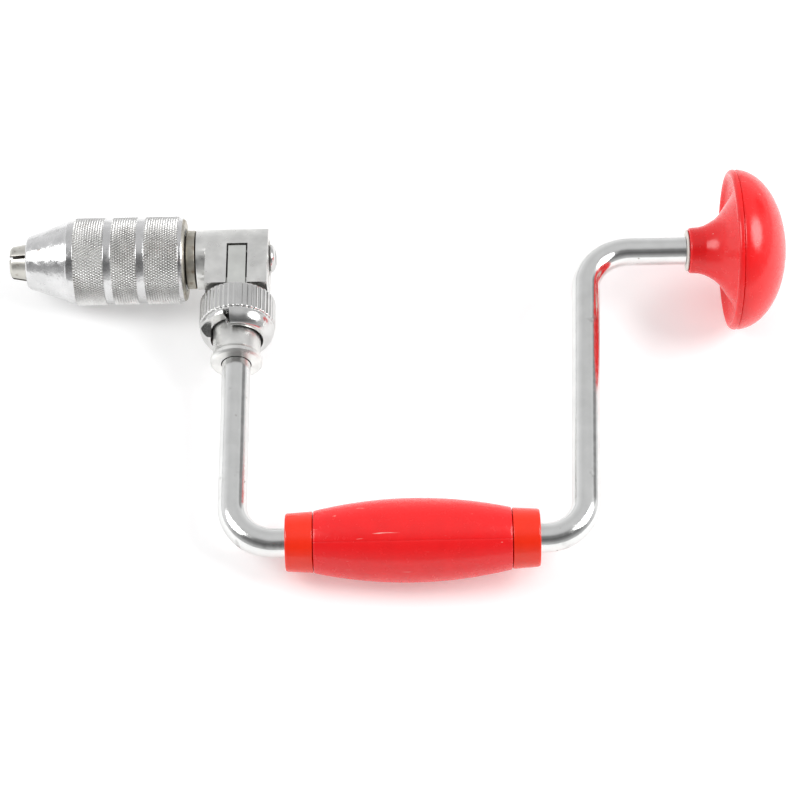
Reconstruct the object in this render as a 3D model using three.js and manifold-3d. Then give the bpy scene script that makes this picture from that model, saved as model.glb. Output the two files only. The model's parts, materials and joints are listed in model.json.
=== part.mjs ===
// Carpenter's ratchet brace (swing brace): a cranked steel rod with a free-turning head at one
// end, a reversible ratchet and a four-jaw bit chuck at the other, and a barrel grip on the crank.
//
// Everything is drawn in the brace's own axes, in millimetres: the spindle runs along X with the
// head at +X, the crank lies in the XY plane with its grip towards -Y, and X = 0 is the axis of
// the crank arm that carries the ratchet. At the end the brace is tilted so that it lies on its
// head rim, its chuck and its grip, on the plane Z = 0.

import * as THREE from 'three';
import { mergeVertices } from 'three/addons/utils/BufferGeometryUtils.js';
import Module from 'manifold-3d';

const wasm = await Module();
wasm.setup();

// ---- driving dimensions ---------------------------------------------------------------------

const GAP = 0.3; // clearance between neighbouring pieces

// crank
const THROW = 141; // spindle axis to grip axis: a 282 mm sweep
const ARM_SPAN = 148; // ratchet arm to head arm, at the spindle axis
const ARM_FOOT = 140; // ratchet arm to head arm, at the grip axis
const ROD_R = 6;
const GRIP_BEND_R = 17; // centre-line radius of the bends on both sides of the grip
const HEAD_BEND_R = 20; // centre-line radius of the bend next to the head
const ROD_TOP_Y = -26; // where the ratchet arm ends inside the housing
const SHOULDER_X = 190.5; // where the rod steps down to the head's axle
const AXLE_R = 4;
const AXLE_END_X = 218;

// ratchet housing
const HOUSING_R = 12.8;
const HOUSING_X = [-17.6, 12.9];
const PAD_X = [-13.2, 12.9];
const PAD_Z = 13.0; // flat front and back faces
const PAD_BOTTOM_Y = -22;
const WINDOW_HALF = 4.4; // pawl windows in the front and back faces
const WINDOW_TOP_Y = -1.4;
const STEM_R = 9.6;
const STEM_END_Y = -55;
const WHEEL_CHAMBER_R = 8.8;
const WHEEL_CHAMBER_X = 5.2; // right-hand end of the wheel's chamber
const BUSH_R = 7.4; // outside of the rear bush

// ratchet wheel and pawls
const TEETH = 12;
const WHEEL_TIP_R = 8.2;
const WHEEL_ROOT_R = 6.6;
const WHEEL_HALF = 4.4;
const PAWL_TRAVEL = 2.5;
const PAWL_HALF = 3.7;
const PAWL_FACE_Z = 12.6;
const PAWL_SHOULDER_Y = -26.2;
const TAIL_HALF = 1.7;
const TAIL_Z = [6.7, 8.9];
const TAIL_END_Y = -34.6;
const CAM_PIN_Y = -32.6;
const CAM_PIN_R = 0.8;

// selector ring
const RING_R = 15.95;
const RING_TOP_Y = -23.7;
const RING_COUNTERBORE = 5.6; // depth of the wide mouth that the pawls' shoulders sink into
const BAND_END_Y = -36;
const RING_END_Y = -42.8;
const RING_BORE_R = 10.9; // mouth at the lower edge
const RING_TURN = 50; // degrees from one ratchet setting to the other
const CUTAWAY = [-76, -13]; // degrees round the arm, from the front towards the head
const CUTAWAY_Y = -38.9;

// chuck
const SPINDLE_R = 5.5;
const COLLAR_X = [-21.9, -18.2];
const COLLAR_R = 12.5;
const CORE_R = 10.7;
const CORE_X = [-72, -22.2];
const SOCKET_R = 5.6;
const SLEEVE_X = [-90.9, -22.3];
const KNURL_R = 18.6;
const GROOVE_R = 18.0;
const SLEEVE_THREAD_R = 11.1;
const CONE = { x0: -89.4, r0: 8.9, x1: -62.5, r1: 15.2 }; // closing cone inside the sleeve
const JAWS = 4;
const JAW_ROLL = 63; // degrees, the first jaw's direction round the spindle
const JAW_FLAT = 4.2; // half the square that the jaws leave open
const JAW_SLIT = 1.5;
const JAW_TIP_X = -98.3;

// head
const HEAD_NECK_X = 191.8;
const HEAD_LIP_X = 209; // rim of the hollow underside
const HEAD_DISH_X = 211.5; // deepest part of the hollow underside
const HEAD_SEAM_X = 211.5;
const HEAD_R = 34.2;
const DOME_HEIGHT = 21.5;
const DOME_WALL = 3.4;
const BUSH_OUT_R = 7.0;

// grip
const GRIP_MID_X = 71.5;
const GRIP_HALF = 39; // half the length of the barrel between its collars
const GRIP_ROLL = 31; // degrees, how far the barrel's joint line is turned towards the open side
const GRIP_END_R = 12.3;
const GRIP_MAX_R = 16.7;
const GRIP_WALL = 3.6;
const SPIGOT_R = 9.2;
const SPIGOT_LENGTH = 5;
const COLLAR_LENGTH = 10.8;

const ROUND = 32; // facets round the large turned pieces
const SMALL_ROUND = 16;

// ---- finishes -------------------------------------------------------------------------------

const finish = (color, roughness, metalness) =>
  new THREE.MeshStandardMaterial({ color, roughness, metalness });

const chrome = finish(0xd8dadb, 0.12, 1.0);
const satinPlate = finish(0xb9bbb8, 0.38, 0.9);
const castPlate = finish(0xc6c8c4, 0.33, 0.9);
const toolSteel = finish(0x77777a, 0.4, 0.9);
const rustySteel = finish(0x5d554b, 0.6, 0.7);
const springSteel = finish(0x6b6e72, 0.35, 0.9);
const redPlastic = finish(0xd9232b, 0.3, 0.0);
const orangePlastic = finish(0xe8351d, 0.22, 0.0);
const nylon = finish(0xe6e4dc, 0.5, 0.0);

// ---- solids ---------------------------------------------------------------------------------

// A closed geometry as a solid: shared corners merged, empty triangles dropped, faces outwards.
function solid(geometry) {
  const bare = geometry.clone();
  for (const name of Object.keys(bare.attributes)) {
    if (name !== 'position') bare.deleteAttribute(name);
  }
  const merged = mergeVertices(bare, 1e-4);
  const position = merged.attributes.position;
  const corner = (i) => new THREE.Vector3().fromBufferAttribute(position, i);
  const triangles = [];
  let volume = 0;
  for (let i = 0; i < merged.index.count; i += 3) {
    const [a, b, c] = [0, 1, 2].map((k) => merged.index.getX(i + k));
    if (a === b || b === c || c === a) continue;
    triangles.push([a, b, c]);
    volume += corner(a).dot(corner(b).cross(corner(c)));
  }
  if (volume < 0) triangles.forEach((triangle) => triangle.reverse());
  return new wasm.Manifold(new wasm.Mesh({
    numProp: 3,
    vertProperties: new Float32Array(position.array),
    triVerts: new Uint32Array(triangles.flat()),
  }));
}

const join = (first, ...others) => others.reduce((sum, other) => sum.add(other), first);
const cut = (first, ...tools) => tools.reduce((rest, tool) => rest.subtract(tool), first);

function part(name, body, material) {
  const { vertProperties, triVerts, numProp } = body.getMesh();
  const positions = new Float32Array((vertProperties.length / numProp) * 3);
  for (let i = 0; i < positions.length; i += 1) {
    positions[i] = vertProperties[Math.floor(i / 3) * numProp + (i % 3)];
  }
  const geometry = new THREE.BufferGeometry();
  geometry.setAttribute('position', new THREE.BufferAttribute(positions, 3));
  geometry.setIndex(new THREE.BufferAttribute(new Uint32Array(triVerts), 1));
  geometry.computeVertexNormals();
  const mesh = new THREE.Mesh(geometry, material);
  mesh.name = name;
  return mesh;
}

// A profile of [along, radius] points turned about X or Y. A profile that never reaches the axis
// is closed into a ring.
function turned(axis, profile, sides = ROUND) {
  const points = profile.map(([along, radius]) => new THREE.Vector2(radius, along));
  const touchesAxis = profile[0][1] === 0 && profile[profile.length - 1][1] === 0;
  if (!touchesAxis) points.push(points[0].clone());
  const geometry = new THREE.LatheGeometry(points, sides);
  if (axis === 'x') geometry.rotateZ(-Math.PI / 2);
  return solid(geometry);
}

const bar = (axis, from, to, radius, sides = ROUND) =>
  turned(axis, [[from, 0], [from, radius], [to, radius], [to, 0]], sides);

const tube = (axis, from, to, inner, outer, sides = ROUND) =>
  turned(axis, [[from, inner], [from, outer], [to, outer], [to, inner]], sides);

function block([x0, x1], [y0, y1], [z0, z1]) {
  const geometry = new THREE.BoxGeometry(x1 - x0, y1 - y0, z1 - z0);
  geometry.translate((x0 + x1) / 2, (y0 + y1) / 2, (z0 + z1) / 2);
  return solid(geometry);
}

// An outline of [z, y] points made into a bar from x0 to x1.
function prismAlongX(outline, x0, x1) {
  const shape = new THREE.Shape(outline.map(([z, y]) => new THREE.Vector2(z, y)));
  const geometry = new THREE.ExtrudeGeometry(shape, { depth: x1 - x0, bevelEnabled: false });
  const toX = new THREE.Matrix4().set(0, 0, 1, x0, 0, 1, 0, 0, 1, 0, 0, 0, 0, 0, 0, 1);
  return solid(geometry.applyMatrix4(toX));
}

// A piece of a ring about Y, from one angle to another (degrees from +Z towards +X). Its lower
// face may rise and fall with the angle.
function ringSector(from, to, inner, outer, topY, bottomAt, step = 8) {
  const count = Math.ceil((to - from) / step);
  const whole = to - from >= 360;
  const positions = [];
  const index = [];
  for (let i = 0; i <= count; i += 1) {
    const degrees = from + ((to - from) * i) / count;
    const angle = THREE.MathUtils.degToRad(degrees);
    const [s, c] = [Math.sin(angle), Math.cos(angle)];
    for (const [radius, y] of [
      [inner, bottomAt(degrees)], [outer, bottomAt(degrees)], [outer, topY], [inner, topY],
    ]) {
      positions.push(radius * s, y, radius * c);
    }
  }
  for (let i = 0; i < count; i += 1) {
    for (let k = 0; k < 4; k += 1) {
      const [a, b] = [4 * i + k, 4 * i + ((k + 1) % 4)];
      index.push(a, b, b + 4, a, b + 4, a + 4);
    }
  }
  if (!whole) {
    const last = 4 * count;
    index.push(0, 3, 2, 0, 2, 1, last, last + 1, last + 2, last, last + 2, last + 3);
  }
  const geometry = new THREE.BufferGeometry();
  geometry.setAttribute('position', new THREE.Float32BufferAttribute(positions, 3));
  geometry.setIndex(index);
  return solid(geometry);
}

// A path given as stations, each a point and its direction, so that straight stretches need no
// points between their ends.
class StationPath extends THREE.Curve {
  constructor(stations) {
    super();
    this.stations = stations;
  }

  at(t) {
    const last = this.stations.length - 1;
    return this.stations[Math.min(last, Math.round(t * last))];
  }

  getPoint(t) {
    return this.at(t).point.clone();
  }

  getPointAt(t) {
    return this.getPoint(t);
  }

  getTangentAt(t) {
    return this.at(t).direction.clone();
  }
}

function sweep(stations, radius, sides) {
  const circle = new THREE.Shape();
  circle.absarc(0, 0, radius, 0, 2 * Math.PI, false);
  const outline = new THREE.Shape(circle.getSpacedPoints(sides).slice(0, -1));
  return solid(new THREE.ExtrudeGeometry(outline, {
    steps: stations.length - 1,
    extrudePath: new StationPath(stations),
    bevelEnabled: false,
  }));
}

// Stations along straight lines from corner to corner, with round bends of the given radii.
function bentPath(corners, radii, stepsPerBend) {
  const toward = (a, b) => b.clone().sub(a).normalize();
  const stations = [{ point: corners[0], direction: toward(corners[0], corners[1]) }];
  for (let i = 1; i < corners.length - 1; i += 1) {
    const inward = toward(corners[i - 1], corners[i]);
    const outward = toward(corners[i], corners[i + 1]);
    const radius = radii[i - 1];
    const turn = inward.angleTo(outward);
    const start = corners[i].clone().addScaledVector(inward, -radius * Math.tan(turn / 2));
    const sideways = outward.clone().addScaledVector(inward, -Math.cos(turn)).normalize();
    for (let k = 0; k <= stepsPerBend; k += 1) {
      const angle = (turn * k) / stepsPerBend;
      const point = start.clone()
        .addScaledVector(inward, radius * Math.sin(angle))
        .addScaledVector(sideways, radius * (1 - Math.cos(angle)));
      const direction = inward.clone().multiplyScalar(Math.cos(angle))
        .addScaledVector(sideways, Math.sin(angle));
      stations.push({ point, direction });
    }
  }
  const end = corners.length - 1;
  stations.push({ point: corners[end], direction: toward(corners[end - 1], corners[end]) });
  return stations;
}

// A compression spring standing along Y.
function coilSpring(x, z, y0, y1, coilR, wireR, turns) {
  const perTurn = 6;
  const count = turns * perTurn;
  const stations = [];
  for (let i = 0; i <= count; i += 1) {
    const angle = (2 * Math.PI * i) / perTurn;
    const rise = y1 - y0 - 2 * wireR;
    stations.push({
      point: new THREE.Vector3(
        x + coilR * Math.cos(angle), y0 + wireR + (rise * i) / count, z + coilR * Math.sin(angle),
      ),
      direction: new THREE.Vector3(
        -coilR * Math.sin(angle), rise / (2 * Math.PI * turns), coilR * Math.cos(angle),
      ).normalize(),
    });
  }
  return sweep(stations, wireR, 5);
}

// ---- crank ----------------------------------------------------------------------------------

function crankRod() {
  const corners = [
    [0, ROD_TOP_Y], [0, -THROW], [ARM_FOOT, -THROW], [ARM_SPAN, 0], [SHOULDER_X, 0],
  ].map(([x, y]) => new THREE.Vector3(x, y, 0));
  const path = bentPath(corners, [GRIP_BEND_R, GRIP_BEND_R, HEAD_BEND_R], 9);
  const pinHole = bar('x', -10, 10, 1.8, SMALL_ROUND);
  const holed = (body) => body.subtract(translated(pinHole, [0, ROD_TOP_Y - 5.6, 0]));
  const axle = turned('x', [
    [SHOULDER_X - 2, 0], [SHOULDER_X - 2, AXLE_R], [AXLE_END_X - 0.6, AXLE_R],
    [AXLE_END_X, AXLE_R - 0.6], [AXLE_END_X, 0],
  ], SMALL_ROUND);
  return holed(join(sweep(path, ROD_R, SMALL_ROUND), axle));
}

function translated(body, offset) {
  const moved = part('', body, null).geometry;
  return solid(moved.translate(...offset));
}

// ---- ratchet --------------------------------------------------------------------------------

function ratchetHousing() {
  const [x0, x1] = HOUSING_X;
  const barrel = turned('x', [
    [x0, 0], [x0, HOUSING_R - 0.5], [x0 + 0.5, HOUSING_R], [x1 - 0.8, HOUSING_R],
    [x1, HOUSING_R - 0.8], [x1, 0],
  ]);
  const skirt = block(PAD_X, [PAD_BOTTOM_Y, -0.6], [-PAD_Z, PAD_Z]);
  const stem = turned('y', [
    [PAD_BOTTOM_Y + 4, 0], [PAD_BOTTOM_Y + 4, STEM_R], [STEM_END_Y + 2.6, STEM_R],
    [STEM_END_Y + 2.2, STEM_R - 0.4], [STEM_END_Y + 1.8, STEM_R + 0.3],
    [STEM_END_Y + 0.8, STEM_R + 0.3], [STEM_END_Y, STEM_R - 0.7], [STEM_END_Y, 0],
  ]);
  const tools = [
    bar('x', x0 - 1, WHEEL_CHAMBER_X, WHEEL_CHAMBER_R),
    bar('x', WHEEL_CHAMBER_X - 1, x1 + 1, BUSH_R + GAP),
    bar('y', STEM_END_Y - 1, ROD_TOP_Y + GAP, ROD_R + GAP),
    bar('x', -STEM_R - 1, STEM_R + 1, 1.8, SMALL_ROUND),
    bar('x', ROD_R + 0.9, STEM_R + 1, 1.5, SMALL_ROUND),
  ];
  tools[3] = translated(tools[3], [0, ROD_TOP_Y - 5.6, 0]);
  tools[4] = translated(tools[4], [0, DETENT_Y, 0]);
  for (const side of [1, -1]) {
    const depth = (a, b) => [Math.min(side * a, side * b), Math.max(side * a, side * b)];
    tools.push(
      block([-WINDOW_HALF, WINDOW_HALF], [-16.6, WINDOW_TOP_Y], depth(3, PAD_Z + 1)),
      block([-WINDOW_HALF, WINDOW_HALF], [PAD_BOTTOM_Y - 1, WINDOW_TOP_Y], depth(9, PAD_Z + 1)),
      block([-2.1, 2.1], [SPRING_SEAT_Y, -15], depth(5.2, STEM_R + 1)),
    );
  }
  return cut(join(barrel, skirt, stem), ...tools);
}

// Twelve equal teeth. A gap faces straight down the arm, and so one faces each pawl's tooth.
function ratchetWheel() {
  const outline = [];
  for (let k = 0; k < TEETH; k += 1) {
    const gap = (360 / TEETH) * k;
    for (const [offset, radius] of [
      [-8, WHEEL_ROOT_R], [8, WHEEL_ROOT_R], [10.5, WHEEL_TIP_R], [19.5, WHEEL_TIP_R],
    ]) {
      const angle = THREE.MathUtils.degToRad(gap + offset);
      outline.push([radius * Math.sin(angle), -radius * Math.cos(angle)]);
    }
  }
  return cut(
    prismAlongX(outline, -WHEEL_HALF, WHEEL_HALF),
    bar('x', -WHEEL_HALF - 1, WHEEL_HALF + 1, SPINDLE_R + GAP, SMALL_ROUND),
  );
}

// The front pawl, in mesh with the wheel: a head in the housing's window, a tail that runs down
// the stem, and a cam pin that reaches into the selector ring.
function pawl() {
  const round = (degrees, radius) => {
    const angle = THREE.MathUtils.degToRad(degrees);
    return [radius * Math.sin(angle), -radius * Math.cos(angle)];
  };
  const clear = WHEEL_TIP_R + 0.5;
  const outline = [
    [PAWL_FACE_Z, WINDOW_TOP_Y - 0.9], [PAWL_FACE_Z, PAWL_SHOULDER_Y], [10.0, PAWL_SHOULDER_Y],
    [10.0, -12.6], [3.5, -12.6], round(24.4, clear), round(26.3, WHEEL_ROOT_R + 0.35),
    round(33.7, WHEEL_ROOT_R + 0.35), round(35.6, clear), round(48, clear), round(60, clear),
    round(72, clear), [clear, WINDOW_TOP_Y - 0.9],
  ];
  const head = prismAlongX(outline, -PAWL_HALF, PAWL_HALF);
  const tail = block([-TAIL_HALF, TAIL_HALF], [TAIL_END_Y, -11.6], TAIL_Z);
  const pin = new THREE.CylinderGeometry(CAM_PIN_R, CAM_PIN_R, 3.2, 16);
  pin.rotateX(Math.PI / 2).translate(0, CAM_PIN_Y, 10.1);
  return join(head, tail, solid(pin));
}

const SPRING_SEAT_Y = -40.4;
const DETENT_Y = -38;

// How far the cam face inside the ring has dropped, going round the arm: the front pawl's ramp
// falls as the ring turns and the rear pawl's ramp rises by as much.
function camDrop(degrees) {
  const angle = THREE.MathUtils.euclideanModulo(degrees, 360);
  const margin = 6;
  const ramp = (start) => THREE.MathUtils.clamp((start - angle) / RING_TURN, 0, 1 + margin / RING_TURN);
  if (angle > 180) return PAWL_TRAVEL * ramp(360);
  return PAWL_TRAVEL * (1 - ramp(180));
}

function selectorRing() {
  const inner = 12.5;
  const camTop = RING_TOP_Y - RING_COUNTERBORE;
  const ring = turned('y', [
    [camTop, 13.6], [RING_TOP_Y, 13.6], [RING_TOP_Y, RING_R - 0.5],
    [RING_TOP_Y - 0.5, RING_R], [BAND_END_Y + 0.3, RING_R], [BAND_END_Y, RING_R - 0.35],
    [BAND_END_Y - 2.2, 15.5], [BAND_END_Y - 4.2, 14.7], [BAND_END_Y - 5.8, 13.7],
    [RING_END_Y, 12.7], [RING_END_Y, RING_BORE_R], [RING_END_Y + 4, RING_BORE_R],
    [RING_END_Y + 4, inner], [camTop, inner],
  ]);
  const camFace = CAM_PIN_Y + CAM_PIN_R + 0.55;
  const cam = ringSector(0, 360, STEM_R + GAP, inner + 0.6, camTop, (d) => camFace - camDrop(d));
  const cutaway = ringSector(CUTAWAY[0], CUTAWAY[1], 5, 20, CUTAWAY_Y, () => RING_END_Y - 2);
  const notch = ringSector(CUTAWAY[1] - 6, CUTAWAY[1] + 4, 5, 20, CUTAWAY_Y + 1.5, () => RING_END_Y - 2);
  return cut(join(ring, cam), cutaway, notch);
}

// A short pin in the stem, at the head end of the ring's cutaway, that stops the ring's turning.
function selectorStop() {
  const pin = new THREE.CylinderGeometry(0.7, 0.7, 1.8, 12);
  pin.rotateX(Math.PI / 2).translate(0, CUTAWAY_Y - 1.1, STEM_R + GAP + 0.9);
  return solid(pin.rotateY(THREE.MathUtils.degToRad(CUTAWAY[1] - 5)));
}

// ---- chuck ----------------------------------------------------------------------------------

function spindle() {
  const body = turned('x', [
    [CORE_X[0], 0], [CORE_X[0], 8.9], [CORE_X[0] + 9, 8.9], [CORE_X[0] + 10.5, CORE_R],
    [CORE_X[1] - 0.6, CORE_R], [CORE_X[1], CORE_R - 0.6], [CORE_X[1], SPINDLE_R],
    [13.2, SPINDLE_R], [13.2, 3], [15, 3], [15, 0],
  ]);
  const socket = bar('x', CORE_X[0] - 1, -44, SOCKET_R, SMALL_ROUND);
  const slots = [];
  for (let k = 0; k < JAWS; k += 1) slots.push(turnedAboutX(jawSlot(), k));
  return cut(body, socket, ...slots);
}

const jawSlot = () => block([CORE_X[0] - 1, CORE_X[0] + 8], [2, 12], [-2.6, 2.6]);

function turnedAboutX(body, k) {
  const geometry = part('', body, null).geometry;
  return solid(geometry.rotateX(THREE.MathUtils.degToRad(JAW_ROLL + (360 / JAWS) * k)));
}

// One jaw, drawn towards +Y: a quarter of the nose with a flat inside, a crowned cone outside and
// a key that slides in the core's slot.
function jaw() {
  const cone = (x) => CONE.r0 + ((x - CONE.x0) * (CONE.r1 - CONE.r0)) / (CONE.x1 - CONE.x0) - 0.5;
  const quarter = turned('x', [
    [JAW_TIP_X, 0], [JAW_TIP_X, 6.3], [JAW_TIP_X + 0.7, 6.9], [SLEEVE_X[0], 7.9],
    [CONE.x0, cone(CONE.x0)], [CORE_X[0] - 0.6, cone(CORE_X[0] - 0.6)], [CORE_X[0] - 0.6, 0],
  ]);
  const wedge = prismAlongX([[0, 0], [30, 30], [-30, 30]], JAW_TIP_X - 1, CORE_X[0] + 1);
  const away = JAW_SLIT / Math.SQRT2;
  const sector = quarter.intersect(translated(wedge, [0, away, 0]));
  const open = block([JAW_TIP_X - 1, CORE_X[0] + 1], [-1, JAW_FLAT], [-12, 12]);
  const key = block([CORE_X[0] - 3, CORE_X[0] + 4.5], [JAW_FLAT + 2.1, 9.9], [-2.2, 2.2]);
  return join(cut(sector, open), key);
}

function chuckSleeve() {
  const [front, rear] = SLEEVE_X;
  return turned('x', [
    [front, CONE.r0 - 0.2], [front, 10.6], [front + 0.6, 11.2], [-74.4, 17.3], [-73.6, 17.7],
    [-71.4, 17.7], [-71.4, KNURL_R], [-58.5, KNURL_R], [-58.5, GROOVE_R], [-55, GROOVE_R],
    [-55, KNURL_R], [-45.1, KNURL_R], [-45.1, GROOVE_R], [-40.8, GROOVE_R], [-40.8, KNURL_R],
    [-27, KNURL_R], [-27, 18.1], [-23.6, 18.1], [rear, 16.9], [rear, 13.4], [-31.5, 13.4],
    [-32.6, SLEEVE_THREAD_R], [-57, SLEEVE_THREAD_R], [-57, CONE.r1], [CONE.x1, CONE.r1],
    [CONE.x0, CONE.r0], [front, CONE.r0],
  ].slice(1));
}

// ---- head -----------------------------------------------------------------------------------

function headBase() {
  return turned('x', [
    [HEAD_NECK_X, BUSH_OUT_R + GAP], [HEAD_NECK_X, 9.1], [HEAD_NECK_X + 0.6, 9.7], [196, 9.85],
    [198.4, 10.5], [200.6, 11.6], [203.2, 13.1], [205.3, 15.1], [207.1, 17.8], [209.1, 20.8],
    [210.8, 23.6], [HEAD_DISH_X, 26], [HEAD_DISH_X - 0.1, 28], [210.4, 29.8], [209.3, 31.3],
    [HEAD_LIP_X, 32.4], [209.4, 33.6], [210.2, HEAD_R], [HEAD_SEAM_X - GAP, HEAD_R],
    [HEAD_SEAM_X - GAP, 30.3], [213.0, 29.3], [213.3, 28.5], [213.3, 23.8], [211.2, 19.2],
    [210.2, 12.2], [HEAD_SEAM_X, 10.4], [HEAD_SEAM_X, BUSH_OUT_R + GAP],
  ]);
}

function headCap() {
  const dome = (radius, height, from, to) => {
    const points = [];
    const steps = 7;
    for (let k = 0; k <= steps; k += 1) {
      const angle = ((from + ((to - from) * k) / steps) * Math.PI) / 180;
      points.push([HEAD_SEAM_X + height * Math.sin(angle), radius * Math.cos(angle)]);
    }
    return points;
  };
  const outside = dome(HEAD_R, DOME_HEIGHT, 0, 90);
  const inside = dome(HEAD_R - DOME_WALL, DOME_HEIGHT - DOME_WALL, 90, 0);
  outside[outside.length - 1][1] = 0;
  inside[0][1] = 0;
  return turned('x', [...inside, ...outside]);
}

function headBush() {
  return turned('x', [
    [SHOULDER_X + GAP, AXLE_R + GAP], [SHOULDER_X + GAP, 8.8], [HEAD_NECK_X - GAP, 8.8],
    [HEAD_NECK_X - GAP, BUSH_OUT_R], [HEAD_SEAM_X + 0.3, BUSH_OUT_R],
    [HEAD_SEAM_X + 0.3, AXLE_R + GAP],
  ], SMALL_ROUND);
}

function headNut() {
  const hexagon = new THREE.CylinderGeometry(7.4, 7.4, 4, 6).rotateZ(Math.PI / 2);
  return cut(
    solid(hexagon.translate(215.4, 0, 0)), bar('x', 212, 219, AXLE_R + GAP, SMALL_ROUND),
  );
}

// ---- grip -----------------------------------------------------------------------------------

// Half of the hollow barrel; side is +1 for the half nearer the spindle and -1 for the outer one.
function gripShell(side) {
  const profile = (shrink, half) => {
    const points = [];
    for (let k = -4; k <= 4; k += 1) {
      const t = k / 4;
      points.push([half * t, GRIP_MAX_R - (GRIP_MAX_R - GRIP_END_R) * t * t - shrink]);
    }
    return points;
  };
  const end = GRIP_HALF + SPIGOT_LENGTH;
  const outside = turned('x', [
    [-end, 0], [-end, SPIGOT_R], [-GRIP_HALF, SPIGOT_R], ...profile(0, GRIP_HALF),
    [GRIP_HALF, SPIGOT_R], [end, SPIGOT_R], [end, 0],
  ]);
  const hollowHalf = GRIP_HALF - 5;
  const hollow = turned('x', [[-hollowHalf, 0], ...profile(GRIP_WALL, hollowHalf), [hollowHalf, 0]]);
  const bore = bar('x', -end - 1, end + 1, ROD_R + GAP, SMALL_ROUND);
  const y0 = side * (GAP / 2);
  const y1 = side * 30;
  const half = block([-60, 60], [Math.min(y0, y1), Math.max(y0, y1)], [-30, 30]);
  return cut(outside.intersect(half), hollow, bore);
}

// The collar at +X; the other one is the same piece turned round.
function gripCollar() {
  const inner = GRIP_HALF + GAP;
  const outer = inner + COLLAR_LENGTH;
  return turned('x', [
    [inner, SPIGOT_R + GAP], [inner, 11.8], [inner + 0.3, 12.0], [outer - 1.6, 11.3],
    [outer, 9.8], [outer, ROD_R + GAP], [inner + SPIGOT_LENGTH + GAP, ROD_R + GAP],
    [inner + SPIGOT_LENGTH + GAP, SPIGOT_R + GAP],
  ]);
}

// ---- assembly -------------------------------------------------------------------------------

const brace = new THREE.Group();

brace.add(
  part('crank_rod', crankRod(), chrome),
  part('ratchet_housing', ratchetHousing(), castPlate),
  part('rear_spindle_bush', tube('x', 5.6, 12.6, SPINDLE_R + GAP, BUSH_R), rustySteel),
  part('front_spindle_bush', tube('x', -17.3, -5.2, SPINDLE_R + GAP, 8.5), rustySteel),
  part('housing_pin', translated(bar('x', -9.2, 9.2, 1.5, SMALL_ROUND), [0, ROD_TOP_Y - 5.6, 0]), toolSteel),
  part('selector_stop_pin', selectorStop(), toolSteel),
);

const ballX = STEM_R - 1.2;
const ball = new THREE.SphereGeometry(1.2, 10, 6).translate(ballX, DETENT_Y, 0);
brace.add(part('detent_ball', solid(ball), toolSteel));

const springMid = (TAIL_Z[0] + TAIL_Z[1]) / 2;
const springOf = (z, top) => coilSpring(0, z, SPRING_SEAT_Y + GAP, top - GAP, 0.85, 0.25, 4);
brace.add(
  part('front_pawl_spring', springOf(springMid, TAIL_END_Y), springSteel),
  part('rear_pawl_spring', springOf(-springMid, TAIL_END_Y - PAWL_TRAVEL), springSteel),
);

const frontPawl = part('front_pawl', pawl(), castPlate);
const rearPawl = part('rear_pawl', pawl(), castPlate);
rearPawl.rotation.y = Math.PI;
rearPawl.position.y = -PAWL_TRAVEL; // the ring holds this one out of the wheel
brace.add(frontPawl, rearPawl, part('selector_ring', selectorRing(), satinPlate));

brace.add(
  part('spindle', spindle(), toolSteel),
  part('ratchet_wheel', ratchetWheel(), toolSteel),
  part('spindle_collar', tube('x', ...COLLAR_X, SPINDLE_R + GAP, COLLAR_R), rustySteel),
  part('spindle_cap', turned('x', [
    [13.5, 3.3], [13.5, 6.2], [14.4, 5.9], [15.2, 4.9], [15.7, 3.6], [15.7, 3.3],
  ], SMALL_ROUND), satinPlate),
  part('sleeve_stop_ring', tube('x', -59.4, -57.6, CORE_R + GAP, CONE.r1 - 0.4), springSteel),
  part('chuck_sleeve', chuckSleeve(), satinPlate),
);
for (let k = 0; k < JAWS; k += 1) {
  const mesh = part(`jaw_${k + 1}`, jaw(), toolSteel);
  mesh.rotation.x = THREE.MathUtils.degToRad(JAW_ROLL + (360 / JAWS) * k);
  brace.add(mesh);
}

brace.add(
  part('head_base', headBase(), redPlastic),
  part('head_cap', headCap(), redPlastic),
  part('head_bush', headBush(), nylon),
  part('head_washer', tube('x', 212.1, 213.1, AXLE_R + GAP, 9.5, SMALL_ROUND), toolSteel),
  part('head_nut', headNut(), toolSteel),
);

const grip = new THREE.Group();
grip.position.set(GRIP_MID_X, -THROW, 0);
grip.rotation.x = THREE.MathUtils.degToRad(GRIP_ROLL);
const rightCollar = part('grip_collar_right', gripCollar(), orangePlastic);
const leftCollar = part('grip_collar_left', gripCollar(), orangePlastic);
leftCollar.rotation.y = Math.PI;
grip.add(
  part('grip_shell_inner', gripShell(1), redPlastic),
  part('grip_shell_outer', gripShell(-1), redPlastic),
  rightCollar,
  leftCollar,
);
brace.add(grip);

// The brace lies on three turned edges with axes along X: the head's rim, the chuck's knurl and
// the middle of the grip. The upward normal n of the plane under them satisfies
// n.x * x + n.y * y - r * s = constant at all three, where s = sqrt(1 - n.x^2).
function restingNormal() {
  const rim = { x: HEAD_SEAM_X, r: HEAD_R };
  const knurl = { x: -71.4, r: KNURL_R };
  const slope = (rim.r - knurl.r) / (rim.x - knurl.x);
  const lean = (slope * (GRIP_MID_X - knurl.x) - (GRIP_MAX_R - knurl.r)) / THROW;
  const s = 1 / Math.sqrt(1 + slope * slope);
  const [nx, ny] = [slope * s, lean * s];
  return new THREE.Vector3(nx, ny, Math.sqrt(1 - nx * nx - ny * ny));
}

const up = restingNormal();
const along = new THREE.Vector3(1, 0, 0).addScaledVector(up, -up.x).normalize();
const across = up.clone().cross(along);
brace.quaternion.setFromRotationMatrix(
  new THREE.Matrix4().makeBasis(along, across, up).transpose(),
);

// The origin is the middle of the object's footprint, on the plane it lies on.
const box = new THREE.Box3().setFromObject(brace, true);
const middle = box.getCenter(new THREE.Vector3());
brace.position.set(-middle.x, -middle.y, -box.min.z);
brace.updateMatrixWorld(true);

export default brace;
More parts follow.
